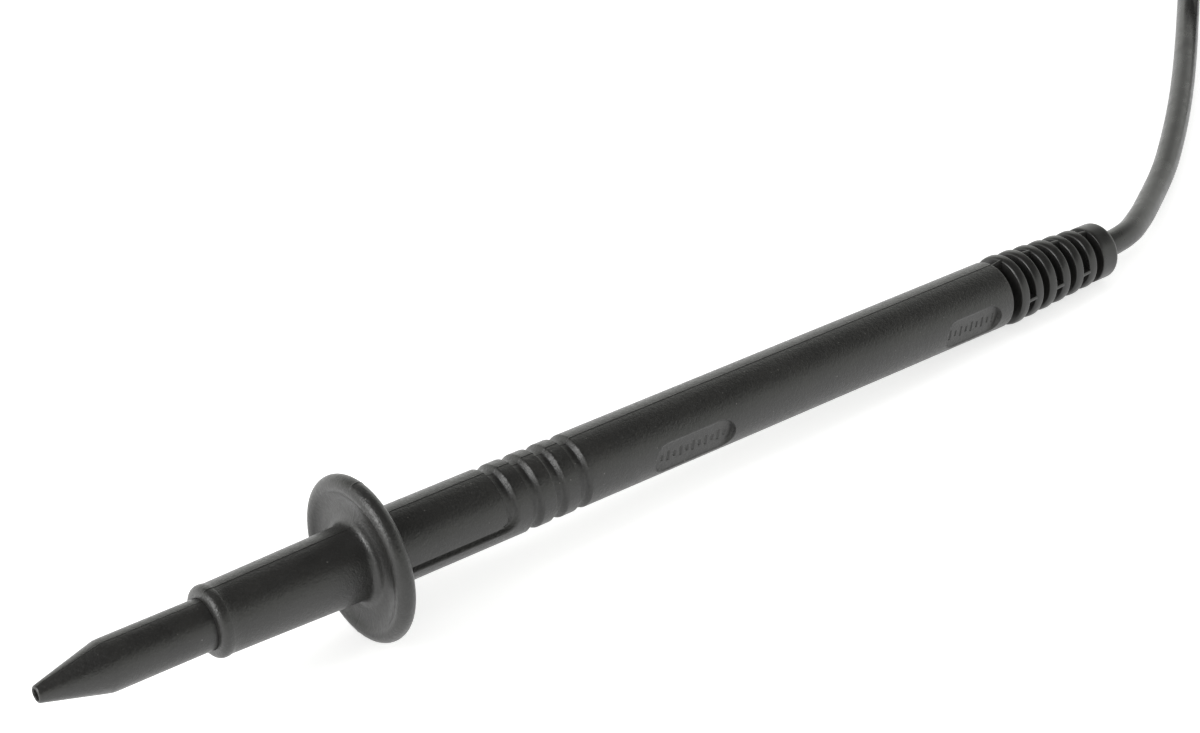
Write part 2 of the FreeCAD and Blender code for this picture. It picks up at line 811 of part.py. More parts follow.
def write(name, shape):
    if not shape.isValid() or len(shape.Solids) != 1:
        print("look at", name, "valid", shape.isValid(), "solids", len(shape.Solids))
    shape.exportStep(os.path.join("parts", name + ".step"))
    box = shape.BoundBox
    low = [round(value, 2) for value in (box.XMin, box.YMin, box.ZMin)]
    high = [round(value, 2) for value in (box.XMax, box.YMax, box.ZMax)]
    print(name, low, high, "volume", round(shape.Volume, 1))


def main():
    os.makedirs("parts", exist_ok=True)
    for pieces, place in (
        (PROBE_PIECES, laid_down()),
        (PLUG_PIECES, plug_place()),
        (CORD_PIECES, Placement()),
    ):
        for name, make in pieces.items():
            shape = make()
            shape = shape.Solids[0] if len(shape.Solids) == 1 else shape
            shape.Placement = place.multiply(shape.Placement)
            write(name, shape)


main()
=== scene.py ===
import json
import math

import bpy
import bmesh
from mathutils import Matrix, Vector


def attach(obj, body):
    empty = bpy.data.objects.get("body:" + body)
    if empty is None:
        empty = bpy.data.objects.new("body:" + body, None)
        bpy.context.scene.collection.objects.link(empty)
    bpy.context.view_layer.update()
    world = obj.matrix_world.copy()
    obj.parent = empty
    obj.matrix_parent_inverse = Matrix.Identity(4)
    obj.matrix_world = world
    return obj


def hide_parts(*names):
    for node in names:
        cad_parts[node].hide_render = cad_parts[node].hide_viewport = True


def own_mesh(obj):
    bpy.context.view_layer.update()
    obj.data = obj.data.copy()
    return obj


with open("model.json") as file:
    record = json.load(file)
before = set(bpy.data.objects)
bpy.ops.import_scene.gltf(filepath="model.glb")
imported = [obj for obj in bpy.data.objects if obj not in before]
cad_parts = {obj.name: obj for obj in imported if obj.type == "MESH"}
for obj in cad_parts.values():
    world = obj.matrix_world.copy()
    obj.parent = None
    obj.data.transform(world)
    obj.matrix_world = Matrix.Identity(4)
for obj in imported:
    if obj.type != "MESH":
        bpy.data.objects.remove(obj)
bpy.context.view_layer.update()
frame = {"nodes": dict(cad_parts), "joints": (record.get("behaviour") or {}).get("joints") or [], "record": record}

MM = 0.001

# ------------------------------------------------------------------ the probe's frame

mounts = {mount["name"]: mount for mount in frame["record"]["mounts"]}
slide = frame["joints"][0]
AXIS = Vector(slide["axis"]).normalized()
TIP = Vector(mounts["needle_tip"]["pos_m"])
ROLL = math.radians(-4.0)


def probe_matrix():
    """From the probe's own frame (x = 0 at the sleeve's mouth, z to the parting line) to the scene."""
    across = Vector((0, 1, 0))
    up = AXIS.cross(across)
    turned_across = across * math.cos(ROLL) + up * math.sin(ROLL)
    turned_up = up * math.cos(ROLL) - across * math.sin(ROLL)
    columns = Matrix((AXIS, turned_across, turned_up)).transposed().to_4x4()
    return Matrix.Translation(TIP) @ columns


PROBE = probe_matrix()

# handle sizes, the same as the CAD's
MOUTH_X = 22.7 * MM
MOUTH_ROUND = 1.0 * MM
BEAD_END = 24.2 * MM
BARREL_END = 158.2 * MM
BARREL_R = 5.15 * MM
NOSE_R = 4.65 * MM
NOSE_END_R = 5.06 * MM
BEAD_R = 4.76 * MM
BORE_R = 3.8 * MM
LAND_R = 3.43 * MM
LAND_END = 29.8 * MM
GUARD_X = 45.45 * MM
GUARD_R = 11.33 * MM
GUARD_RIM = 1.3 * MM
GUARD_WEB = 0.75 * MM
GUARD_HUB = 1.2 * MM
GUARD_DISH = 0.75 * MM
GROOVE_LENGTH = 2.1 * MM
GROOVE_COUNT = 4
FIRST_GROOVE_MM = 65.9
GROOVE_PITCH_MM = 3.95
GROOVE_HALF_MM = 1.05
GROOVES = [
    (FIRST_GROOVE_MM + GROOVE_PITCH_MM * index - GROOVE_HALF_MM) * MM for index in range(GROOVE_COUNT)
]
GROOVE_DEPTH = 0.7 * MM
CHANNEL_FIRST = math.radians(95.5)
CHANNEL_LAST = math.radians(109)
PANEL_CORNER = 1.1 * MM
POCKET_ANGLE = math.radians(98)
POCKET_FLOOR = 4.45 * MM
POCKET_HALF_WIDTH = 2.3 * MM
POCKETS = [(96.6 * MM, 7.0 * MM), (149.9 * MM, 5.6 * MM)]
MARK_PITCH = 1.1 * MM
MARK_HALF = 0.16 * MM
MARK_LONG = 0.95 * MM
MARK_SHORT = 0.55 * MM
MARK_DEPTH = 0.14 * MM
BOOT_END = 182.0 * MM
LEAD_R = 2.0 * MM


# --------------------------------------------------------------------------- materials

class Nodes:
    """A short way to write a material's node tree."""

    def __init__(self, name):
        self.material = bpy.data.materials.new(name)
        self.material.use_nodes = True
        self.tree = self.material.node_tree
        self.shader = self.tree.nodes["Principled BSDF"]
        self.place = self.add("ShaderNodeTexCoord").outputs["Object"]

    def add(self, kind, inputs=None, **settings):
        node = self.tree.nodes.new(kind)
        for key, value in settings.items():
            setattr(node, key, value)
        for key, value in (inputs or {}).items():
            self.put(node.inputs[key], value)
        return node

    def put(self, socket, value):
        if isinstance(value, bpy.types.NodeSocket):
            self.tree.links.new(value, socket)
        else:
            socket.default_value = value

    def noise(self, scale, detail=3.0, rough=0.6):
        node = self.add("ShaderNodeTexNoise", {"Vector": self.place, "Scale": scale,
                                               "Detail": detail, "Roughness": rough})
        return node.outputs["Fac"]

    def range(self, value, low, high, new_low, new_high):
        node = self.add("ShaderNodeMapRange", {"Value": value, "From Min": low, "From Max": high,
                                               "To Min": new_low, "To Max": new_high})
        return node.outputs["Result"]

    def mix(self, share, first, second):
        node = self.add("ShaderNodeMix", data_type="RGBA")
        self.put(node.inputs["Factor"], share)
        self.put(node.inputs["A"], first)
        self.put(node.inputs["B"], second)
        return node.outputs["Result"]

    def bump(self, height, distance, strength=1.0, under=None):
        inputs = {"Height": height, "Distance": distance, "Strength": strength}
        if under is not None:
            inputs["Normal"] = under
        return self.add("ShaderNodeBump", inputs).outputs["Normal"]

    def finish(self, color, roughness, normal=None, metallic=0.0, specular=0.5):
        self.put(self.shader.inputs["Base Color"], color)
        self.put(self.shader.inputs["Roughness"], roughness)
        self.shader.inputs["Metallic"].default_value = metallic
        self.shader.inputs["Specular IOR Level"].default_value = specular
        if normal is not None:
            self.put(self.shader.inputs["Normal"], normal)
        return self.material


def grey(level, warm=0.0):
    return (level * (1 + warm), level, level * (1 - warm * 1.6), 1.0)


# sizes of the materials' patterns, in cells per metre
CLOUDS = 180.0
DUST_SPECKS = 900.0
DUST_PATCHES = 700.0
GRAIN_FINE = 4200.0
GRAIN_COARSE = 1900.0
GRAIN_FINE_DEPTH = 0.05 * MM
GRAIN_COARSE_DEPTH = 0.045 * MM
RUBBER_CLOUDS = 90.0
PILE_LOOPS = 2600.0
PILE_DEPTH = 0.12 * MM


def moulded_plastic(name, level, roughness, grain, dust):
    """Black moulding with spark-eroded grain and a few pale specks of dust."""
    n = Nodes(name)
    cloud = n.noise(CLOUDS, 2.0)
    darker, lighter = grey(level * 0.88, 0.02), grey(level * 1.14, 0.03)
    color = n.mix(n.range(cloud, 0.35, 0.7, 0.0, 1.0), darker, lighter)
    cells = n.add("ShaderNodeTexVoronoi", {"Vector": n.place, "Scale": DUST_SPECKS}).outputs["Distance"]
    speck = n.range(cells, 0.05, 0.12, 1.0, 0.0)
    patch = n.range(n.noise(DUST_PATCHES, 0.0), 0.55, 0.62, 0.0, dust)
    spot = n.add("ShaderNodeMath", {0: speck, 1: patch}, operation="MULTIPLY")
    color = n.mix(spot.outputs[0], color, grey(0.13, 0.03))
    fine = n.noise(GRAIN_FINE, 2.0, 0.7)
    coarse = n.noise(GRAIN_COARSE, 2.0, 0.6)
    color = n.mix(n.range(fine, 0.5, 0.75, 0.0, 0.5), color, grey(level * 2.0, 0.02))
    normal = n.bump(fine, GRAIN_FINE_DEPTH, grain)
    normal = n.bump(coarse, GRAIN_COARSE_DEPTH, grain, normal)
    rough = n.range(coarse, 0.3, 0.7, roughness - 0.06, roughness + 0.07)
    return n.finish(color, rough, normal, specular=0.6)


def smooth_rubber(name, level, roughness, scale=700.0):
    """Satin elastomer with a soft cloudiness and a trace of handling marks."""
    n = Nodes(name)
    cloud = n.noise(RUBBER_CLOUDS, 3.0)
    color = n.mix(cloud, grey(level * 0.9, 0.02), grey(level * 1.12, 0.02))
    film = n.noise(scale, 3.0)
    rough = n.range(film, 0.3, 0.7, roughness - 0.05, roughness + 0.08)
    normal = n.bump(n.noise(scale * 2.4, 2.0), 0.01 * MM, 0.5)
    return n.finish(color, rough, normal, specular=0.6)


def metal(name, color, roughness, scale=2600.0):
    """Bright metal with fine turning marks."""
    n = Nodes(name)
    marks = n.add("ShaderNodeMapping", {"Vector": n.place, "Scale": (6.0, 1.0, 1.0)})
    lines = n.add("ShaderNodeTexNoise", {"Vector": marks.outputs[0], "Scale": scale, "Detail": 3.0})
    rough = n.range(lines.outputs["Fac"], 0.3, 0.7, roughness - 0.05, roughness + 0.08)
    normal = n.bump(lines.outputs["Fac"], 0.004 * MM, 0.6)
    shade = n.mix(n.noise(320.0), tuple(c * 0.92 for c in color[:3]) + (1.0,), color)
    return n.finish(shade, rough, normal, metallic=1.0)


def strap_fabric():
    """Hook-and-loop strap: a dense short pile."""
    n = Nodes("strap_fabric")
    loops = n.add("ShaderNodeTexVoronoi", {"Vector": n.place, "Scale": PILE_LOOPS}).outputs["Distance"]
    color = n.mix(loops, grey(0.016), grey(0.05))
    normal = n.bump(loops, PILE_DEPTH, 0.8)
    return n.finish(color, 0.9, normal, specular=0.2)


HANDLE = moulded_plastic("handle_black", 0.018, 0.34, 1.0, 0.9)
SLEEVE = moulded_plastic("sleeve_black", 0.018, 0.34, 0.9, 0.9)
BOOT = smooth_rubber("boot_black", 0.016, 0.32)
LEAD = smooth_rubber("lead_black", 0.022, 0.3, 420.0)
INNER = smooth_rubber("inner_black", 0.05, 0.5)
WHITE = smooth_rubber("insulation_white", 0.78, 0.35)
STEEL = metal("needle_steel", (0.62, 0.61, 0.58, 1.0), 0.22)
WIRE = metal("spring_steel", (0.55, 0.55, 0.54, 1.0), 0.3)
BRASS = metal("brass", (0.78, 0.62, 0.33, 1.0), 0.32)
COPPER = metal("copper", (0.72, 0.42, 0.26, 1.0), 0.36)
NICKEL = metal("pin_nickel", (0.74, 0.73, 0.70, 1.0), 0.2)
STRAP = strap_fabric()

# nodes that keep their CAD shape, with the material that each one gets
CARRIED = {
    "needle": STEEL, "needle_insulation": WHITE, "spring_washer": WIRE, "needle_holder": INNER,
    "crimp_ferrule": BRASS, "ferrule_insulation": INNER, "conductor": COPPER, "lead_inside": LEAD,
    "cord_clamp": INNER, "plug_pin": NICKEL, "plug_core": INNER, "plug_shroud": HANDLE,
    "plug_grip": BOOT, "plug_boot": BOOT, "plug_lead_end": LEAD, "plug_conductor": COPPER,
    "cord_tie": STRAP,
}


def dress_carried_nodes():
    for name, material in CARRIED.items():
        mesh = frame["nodes"][name].data
        mesh.materials.clear()
        mesh.materials.append(material)
        mesh.shade_smooth()
        mesh.set_sharp_from_angle(angle=math.radians(35))


# --------------------------------------------------------------------------- outlines

def arc(centre, radius, start, end, steps):
    """Points of an arc in the (x, r) half plane, angles in degrees from +x."""
    points = []
    for step in range(steps + 1):
        angle = math.radians(start + (end - start) * step / steps)
        points.append((centre[0] + radius * math.cos(angle), centre[1] + radius * math.sin(angle)))
    return points


def curve(first, way, last, steps):
    """Points of a quadratic curve from first to last, pulled towards way."""
    points = []
    for step in range(steps + 1):
        t = step / steps
        a, b, c = (1 - t) ** 2, 2 * t * (1 - t), t * t
        points.append((a * first[0] + b * way[0] + c * last[0], a * first[1] + b * way[1] + c * last[1]))
    return points


def spaced(first, last, step):
    """Points of a straight line, at most step apart, without its first point."""
    count = max(1, math.ceil(math.dist(first, last) / step))
    return [
        (first[0] + (last[0] - first[0]) * k / count, first[1] + (last[1] - first[1]) * k / count)
        for k in range(1, count + 1)
    ]


def turned(name, outline, angles, shape=None, closed=True):
    """A surface turned about the probe's axis. shape(x, r, angle) may change a point's radius."""
    mesh = bpy.data.meshes.new(name)
    vertices = []
    for x, r in outline:
        for angle in angles:
            radius = shape(x, r, angle) if shape else r
            vertices.append((x, -radius * math.sin(angle), radius * math.cos(angle)))
    around = len(angles)
    rows = len(outline) if closed else len(outline) - 1
    faces = []
    for row in range(rows):
        here = row * around
        ahead = ((row + 1) % len(outline)) * around
        for k in range(around):
            side = (k + 1) % around
            faces.append((here + k, here + side, ahead + side, ahead + k))
    mesh.from_pydata(vertices, [], faces)
    mesh.transform(PROBE)
    tidy = bmesh.new()
    tidy.from_mesh(mesh)
    bmesh.ops.recalc_face_normals(tidy, faces=tidy.faces)
    tidy.to_mesh(mesh)
    tidy.free()
    return mesh


def piece(name, mesh, material, body, slot, *nodes, sharp=30):
    """Puts a mesh in the scene as a piece that rides on a body and stands for CAD nodes."""
    thing = bpy.data.objects.new(name, mesh)
    bpy.context.scene.collection.objects.link(thing)
    mesh.materials.clear()
    mesh.materials.append(material)
    mesh.shade_smooth()
    mesh.set_sharp_from_angle(angle=math.radians(sharp))
    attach(thing, body)
    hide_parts(*nodes)
    return thing


def even_angles(count):
    return [2 * math.pi * k / count for k in range(count)]


# ----------------------------------------------------------------------------- barrel

SEAM_HALF = 0.09 * MM
SEAM_HEIGHT = 0.07 * MM
EDGE = 0.09 * MM
BEHIND_GUARD = 1.8 * MM
MARK_MARGIN = 1.6 * MM
BARREL_ROUND = 0.3 * MM


def smooth(low, high, value):
    """0 below low, 1 above high, and an even change between them."""
    t = min(1.0, max(0.0, (value - low) / (high - low)))
    return t * t * (3 - 2 * t)


def groove_profile(share):
    """Depth across a groove: crisp front edge, a floor that deepens, a sloping rear wall."""
    if not 0 < share < 1:
        return 0.0
    floor = 0.6 + 0.4 * math.sin(math.pi / 2 * min(1.0, share / 0.6))
    return GROOVE_DEPTH * floor * smooth(0.0, 0.08, share) * (1 - smooth(0.6, 1.0, share))


def past_corner(ahead, below, radius):
    """Distance outside a panel whose two edges, at 0 and 0, meet in a round corner."""
    if ahead > -radius and below > -radius:
        return math.hypot(ahead + radius, below + radius) - radius
    return max(ahead, below)


def first_groove_depth(x, angle):
    """The first groove turns round the raised panel's corners into the two side channels."""
    turn = angle if angle <= math.pi else 2 * math.pi - angle
    ahead = x - GROOVES[0]
    below = (turn - CHANNEL_FIRST) * BARREL_R
    width = (CHANNEL_LAST - CHANNEL_FIRST) * BARREL_R
    inner = past_corner(ahead, below, PANEL_CORNER)
    outer = past_corner(ahead - GROOVE_LENGTH, below - width, PANEL_CORNER + width)
    if inner <= 0 or outer >= 0:
        return 0.0
    start = GUARD_X + GUARD_WEB + GUARD_HUB
    return groove_profile(inner / (inner - outer)) * smooth(start - EDGE, start + 2 * EDGE, x)


def groove_depth(x, angle):
    depth = first_groove_depth(x, angle)
    for start in GROOVES[1:]:
        depth = max(depth, groove_profile((x - start) / GROOVE_LENGTH))
    return depth


def mark_depth(middle, half, x, side):
    """Plain engraved ticks, long and short in turn, along a pocket's floor."""
    count = round((half - MARK_MARGIN) / MARK_PITCH)
    index = round((x - middle) / MARK_PITCH)
    if abs(index) > count:
        return 0.0
    reach = MARK_LONG if index % 2 == 0 else MARK_SHORT
    across = 1 - smooth(MARK_HALF - 0.05 * MM, MARK_HALF + 0.06 * MM, abs(x - middle - index * MARK_PITCH))
    along = 1 - smooth(reach - 0.06 * MM, reach + 0.06 * MM, abs(side))
    return MARK_DEPTH * across * along


def pocket_radius(x, angle):
    """Radius of a marking pocket's flat floor here, or None outside the pockets."""
    for middle, half in POCKETS:
        if abs(x - middle) > half + EDGE:
            continue
        turn = angle - POCKET_ANGLE
        if math.cos(turn) < 0.5:
            continue
        side = BARREL_R * math.sin(turn)
        straight = half - POCKET_HALF_WIDTH
        ahead = max(0.0, abs(x - middle) - straight)
        inside = POCKET_HALF_WIDTH - math.hypot(ahead, side)
        share = smooth(-EDGE, EDGE, inside)
        if share > 0:
            floor = min(BARREL_R, POCKET_FLOOR / math.cos(turn))
            return BARREL_R + (floor - BARREL_R) * share - mark_depth(middle, half, x, side)
    return None


def seam_height(angle):
    """Parting line on the top and underneath."""
    from_seam = min(angle % math.pi, math.pi - angle % math.pi) * BARREL_R
    return SEAM_HEIGHT * (1 - smooth(0.0, SEAM_HALF, from_seam))


def barrel_shape(x, r, angle):
    if r < LAND_R + 0.5 * MM:
        return r
    if x > GUARD_X + BEHIND_GUARD and r > BARREL_R - 0.01 * MM:
        pocket = pocket_radius(x, angle)
        if pocket is not None:
            return pocket
        r -= groove_depth(x, angle)
    return r + seam_height(angle)


def barrel_outline():
    points = [(MOUTH_X, LAND_R)]
    points += arc((MOUTH_X + MOUTH_ROUND, BEAD_R - MOUTH_ROUND), MOUTH_ROUND, 180, 90, 14)
    points += spaced(points[-1], (BEAD_END - 0.4 * MM, BEAD_R), 0.5 * MM)
    points += curve(points[-1], (BEAD_END, BEAD_R), (BEAD_END + 0.2 * MM, NOSE_R), 5)[1:]
    hub_x = GUARD_X - GUARD_WEB - GUARD_HUB
    points += spaced(points[-1], (hub_x, NOSE_END_R), 1.2 * MM)
    rim_r = GUARD_R - GUARD_RIM
    root_r = BARREL_R + GUARD_HUB
    web_x = GUARD_X - GUARD_WEB
    points += curve(points[-1], (web_x, NOSE_END_R), (web_x, root_r), 8)[1:]
    points += curve(points[-1], (web_x + GUARD_DISH, (root_r + rim_r) / 2),
                    (GUARD_X - GUARD_RIM + 0.12 * MM, rim_r - 0.5 * MM), 14)[1:]
    points += arc((GUARD_X, rim_r), GUARD_RIM, 180, 0, 26)
    points += spaced(points[-1], (GUARD_X + GUARD_WEB, rim_r - GUARD_RIM), 0.3 * MM)
    points += spaced(points[-1], (GUARD_X + GUARD_WEB, root_r), 0.5 * MM)
    points += curve(points[-1], (GUARD_X + GUARD_WEB, BARREL_R),
                    (GUARD_X + GUARD_WEB + GUARD_HUB, BARREL_R), 8)[1:]
    points += spaced(points[-1], (points[-1][0] + 0.6 * MM, BARREL_R), 0.06 * MM)
    points += spaced(points[-1], (GROOVES[0] - 0.2 * MM, BARREL_R), 0.6 * MM)
    points += spaced(points[-1], (GROOVES[-1] + GROOVE_LENGTH + 0.2 * MM, BARREL_R), 0.08 * MM)
    for middle, half in POCKETS:
        points += spaced(points[-1], (middle - half - 0.3 * MM, BARREL_R), 1.5 * MM)
        points += spaced(points[-1], (middle + half + 0.3 * MM, BARREL_R), 0.11 * MM)
    points += spaced(points[-1], (BARREL_END - BARREL_ROUND, BARREL_R), 0.4 * MM)
    points += arc((BARREL_END - BARREL_ROUND, BARREL_R - BARREL_ROUND), BARREL_ROUND, 90, 0, 6)[1:]
    points += [(BARREL_END, BORE_R)]
    points += spaced(points[-1], (LAND_END, BORE_R), 20 * MM)
    points += [(LAND_END, LAND_R)]
    return points


def barrel_angles():
    """Even steps, with extra lines close to the parting line and the channels' edges."""
    angles = [math.radians(1.25) * k for k in range(288)]
    whole = 2 * math.pi
    for seam in (0.0, math.pi):
        for step in (0.3, 0.6, 0.9):
            angles += [(seam + math.radians(step)) % whole, (seam - math.radians(step)) % whole]
    for edge in (CHANNEL_FIRST, CHANNEL_LAST):
        for step in (-0.7, 0.0, 0.7):
            angles += [edge + math.radians(step), whole - edge - math.radians(step)]
    kept = []
    for angle in sorted(angles):
        if not kept or angle - kept[-1] > math.radians(0.12):
            kept.append(angle)
    return kept


def build_barrel():
    mesh = turned("barrel_skin", barrel_outline(), barrel_angles(), barrel_shape)
    return piece("barrel_skin", mesh, HANDLE, "probe", "handle_black", "barrel")


# -------------------------------------------------------------------- sleeve and spring

SLEEVE_R = 3.38 * MM
FLANGE_X = 29.85 * MM
FLANGE_R = 3.75 * MM
SLEEVE_END = 32.35 * MM
SLEEVE_BORE_R = 1.88 * MM
CONE_BORE_X = 11.0 * MM
CONE_BORE_R = 1.18 * MM
TIP_LAND_X = 2.5 * MM
TIP_BORE_R = 0.73 * MM
TIP_ROUND = 0.3 * MM
SPRING_WIRE_R = 0.25 * MM
SPRING_R = 2.715 * MM
SPRING_X = 32.38 * MM
SPRING_LENGTH = 27.3 * MM
SPRING_COILS = 11
SPRING_STEPS = SPRING_COILS * 36
SPRING_SIDES = 10


def sleeve_outline():
    points = [(0.25 * MM, TIP_BORE_R), (0.08 * MM, 0.78 * MM), (0.0, 0.86 * MM)]
    points += arc((TIP_ROUND, 0.85 * MM), TIP_ROUND, 180, 100, 6)
    points += spaced(points[-1], (8.6 * MM, 3.3 * MM), 1.0 * MM)
    points += curve(points[-1], (9.0 * MM, SLEEVE_R), (9.6 * MM, SLEEVE_R), 5)[1:]
    points += spaced(points[-1], (FLANGE_X, SLEEVE_R), 2.0 * MM)
    points += [(FLANGE_X, FLANGE_R), (SLEEVE_END, FLANGE_R)]
    points += [(SLEEVE_END, SLEEVE_BORE_R), (CONE_BORE_X, SLEEVE_BORE_R)]
    points += [(CONE_BORE_X, CONE_BORE_R), (TIP_LAND_X, CONE_BORE_R), (TIP_LAND_X, TIP_BORE_R)]
    return points


def sleeve_shape(x, r, angle):
    """The sleeve's outside has a lower parting line than the barrel's."""
    outside = 1.0 * MM < x < FLANGE_X and r > 1.2 * MM
    return r + (0.6 * seam_height(angle) if outside else 0.0)


def build_sleeve():
    mesh = turned("sleeve_skin", sleeve_outline(), barrel_angles(), sleeve_shape)
    return piece("sleeve_skin", mesh, SLEEVE, "sleeve", "sleeve_black", "guard_sleeve")


def build_spring():
    """The return spring, as a helix of fixed length; the real one shortens as the sleeve goes in."""
    around, steps = SPRING_SIDES, SPRING_STEPS
    vertices, faces = [], []
    for step in range(steps + 1):
        turn = 2 * math.pi * SPRING_COILS * step / steps
        x = SPRING_X + SPRING_WIRE_R + (SPRING_LENGTH - 2 * SPRING_WIRE_R) * step / steps
        for k in range(around):
            angle = 2 * math.pi * k / around
            r = SPRING_R + SPRING_WIRE_R * math.cos(angle)
            along = x + SPRING_WIRE_R * math.sin(angle)
            vertices.append((along, r * math.cos(turn), r * math.sin(turn)))
    for step in range(steps):
        for k in range(around):
            here, side = step * around + k, step * around + (k + 1) % around
            faces.append((here, side, side + around, here + around))
    faces.append(tuple(range(around))[::-1])
    faces.append(tuple(steps * around + k for k in range(around)))
    mesh = bpy.data.meshes.new("spring_coils")
    mesh.from_pydata(vertices, [], faces)
    mesh.transform(PROBE)
    spring = piece("spring_coils", mesh, WIRE, "probe", "spring_steel", "return_spring")
    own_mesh(spring)
    return spring


# ------------------------------------------------------------------------------- boot

RIB_COUNT = 6
RIB_PITCH = 3.1 * MM
RIB_LENGTH = 1.4 * MM
BOOT_CORE_R = 2.9 * MM
COLLAR_R = 4.4 * MM
COLLAR_X = BOOT_END - 3.5 * MM
COLLAR_ROUND = 0.8 * MM
FIRST_RIB_MM = 5.42
RIB_TAPER_MM = 0.82
SPIGOT_LENGTH = 12 * MM
BOOT_GAP = 0.03 * MM
RIB_SOFT = 0.35 * MM
WEB_HALF = 0.28 * MM
WEB_ROOT = 0.3 * MM
WEB_DROP = 0.12 * MM
WEB_REACH = 0.12 * MM
WEB_CROWN = 0.12 * MM


def rib_radius(index):
    return (FIRST_RIB_MM - RIB_TAPER_MM * index / (RIB_COUNT - 1)) * MM


def rib_outline(index):
    """One rib, from the core in front of it to the core behind it."""
    back = BARREL_END + (index + 1) * RIB_PITCH
    front = back - RIB_LENGTH
    r = rib_radius(index)
    points = curve((front - 0.25 * MM, BOOT_CORE_R), (front, BOOT_CORE_R),
                   (front, BOOT_CORE_R + 0.25 * MM), 3)
    points += curve((front, r - RIB_SOFT * 1.3), (front + 0.05 * MM, r - 0.08 * MM),
                    (front + RIB_SOFT * 1.8, r - 0.02 * MM), 6)
    points += curve((back - 0.3 * MM, r), (back - 0.02 * MM, r), (back, r - 0.14 * MM), 4)
    return points + [(back, BOOT_CORE_R)]


def boot_outline():
    bore = LEAD_R + BOOT_GAP
    spigot_r = BORE_R - BOOT_GAP
    points = [(BARREL_END - SPIGOT_LENGTH, bore), (BARREL_END - SPIGOT_LENGTH, spigot_r)]
    points += [(BARREL_END, spigot_r), (BARREL_END, BOOT_CORE_R)]
    for index in range(RIB_COUNT):
        points += rib_outline(index)
    points += [(COLLAR_X, BOOT_CORE_R)]
    points += arc((COLLAR_X + 0.15 * MM, COLLAR_R - 0.15 * MM), 0.15 * MM, 180, 90, 4)
    points += spaced(points[-1], (BOOT_END - COLLAR_ROUND, COLLAR_R), 0.6 * MM)
    points += arc((BOOT_END - COLLAR_ROUND, COLLAR_R - COLLAR_ROUND), COLLAR_ROUND, 90, 0, 10)[1:]
    points += curve((BOOT_END, bore + 0.35 * MM), (BOOT_END, bore), (BOOT_END - 0.3 * MM, bore), 4)
    return points


def boot_web(index):
    """A thin plate in one gap, on both sides of the core: upright, then level, in turn."""
    start = BARREL_END + index * RIB_PITCH
    gap = RIB_PITCH - RIB_LENGTH
    low = rib_radius(index - 1) if index else BARREL_R - 0.05 * MM
    high = rib_radius(index) if index < RIB_COUNT else COLLAR_R
    half, inside = WEB_HALF, BOOT_CORE_R - WEB_ROOT
    front = start - (WEB_REACH if index else 0.0)
    back = start + gap + WEB_REACH
    corners = []
    for x, r in ((front, low - WEB_DROP), (back, high - WEB_DROP)):
        shoulder = r - WEB_CROWN
        corners += [(x, -half, inside), (x, -half, shoulder), (x, -half * 0.35, r)]
        corners += [(x, half * 0.35, r), (x, half, shoulder), (x, half, inside)]
    faces = [(k, (k + 1) % 6, (k + 1) % 6 + 6, k + 6) for k in range(6)]
    faces += [tuple(range(6))[::-1], tuple(range(6, 12))]
    return corners, faces


def build_boot():
    mesh = turned("boot_skin", boot_outline(), even_angles(120))
    joined = bmesh.new()
    joined.from_mesh(mesh)
    for index in range(RIB_COUNT + 1):
        corners, faces = boot_web(index)
        for half in (0, math.pi):
            turn = Matrix.Rotation(half + (math.pi / 2) * (index % 2), 4, "X")
            verts = [joined.verts.new(PROBE @ (turn @ Vector(corner))) for corner in corners]
            for face in faces:
                joined.faces.new([verts[k] for k in face])
    bmesh.ops.recalc_face_normals(joined, faces=joined.faces)
    joined.to_mesh(mesh)
    joined.free()
    return piece("boot_skin", mesh, BOOT, "probe", "boot_black", "boot", sharp=40)


# ------------------------------------------------------------------------------- lead

# the route's points and the coil's sizes are in mm from the coil's middle
COIL_MIDDLE = Vector((216.69, 50.7, 0)) * MM
COIL_TURNS = (30.2, 26.1, 22.0, 17.95, 20.0, 24.05, 28.1)
COIL_R = 24.05
COIL_LOW = 2.0
COIL_HIGH = 5.55
COIL_CENTRE = 3.8
COIL_FIRST = math.radians(130)
COIL_LAST = math.radians(225)
COIL_STEPS = 16
TIE_ANGLE = math.radians(300)
TIE_SPREAD = 0.35
LEAVING = 6.2 * MM


def route_out():
    """From the boot's collar along the axis, down to the floor and over it."""
    start = PROBE @ Vector((BOOT_END, 0, 0))
    points = [
        (-111.8, -47.1, 3.3),
        (-107.6, -44.7, 2.8),
        (-99.3, -40.0, 2.1),
        (-92.2, -35.6, 2.0),
        (-78.4, -25.8, 2.0),
        (-64.4, -14.8, 2.0),
        (-46.0, 0.6, 2.0),
        (-32.7, 11.9, 2.0),
    ]
    return [start, start + AXIS * LEAVING] + [COIL_MIDDLE + Vector(point) * MM for point in points]


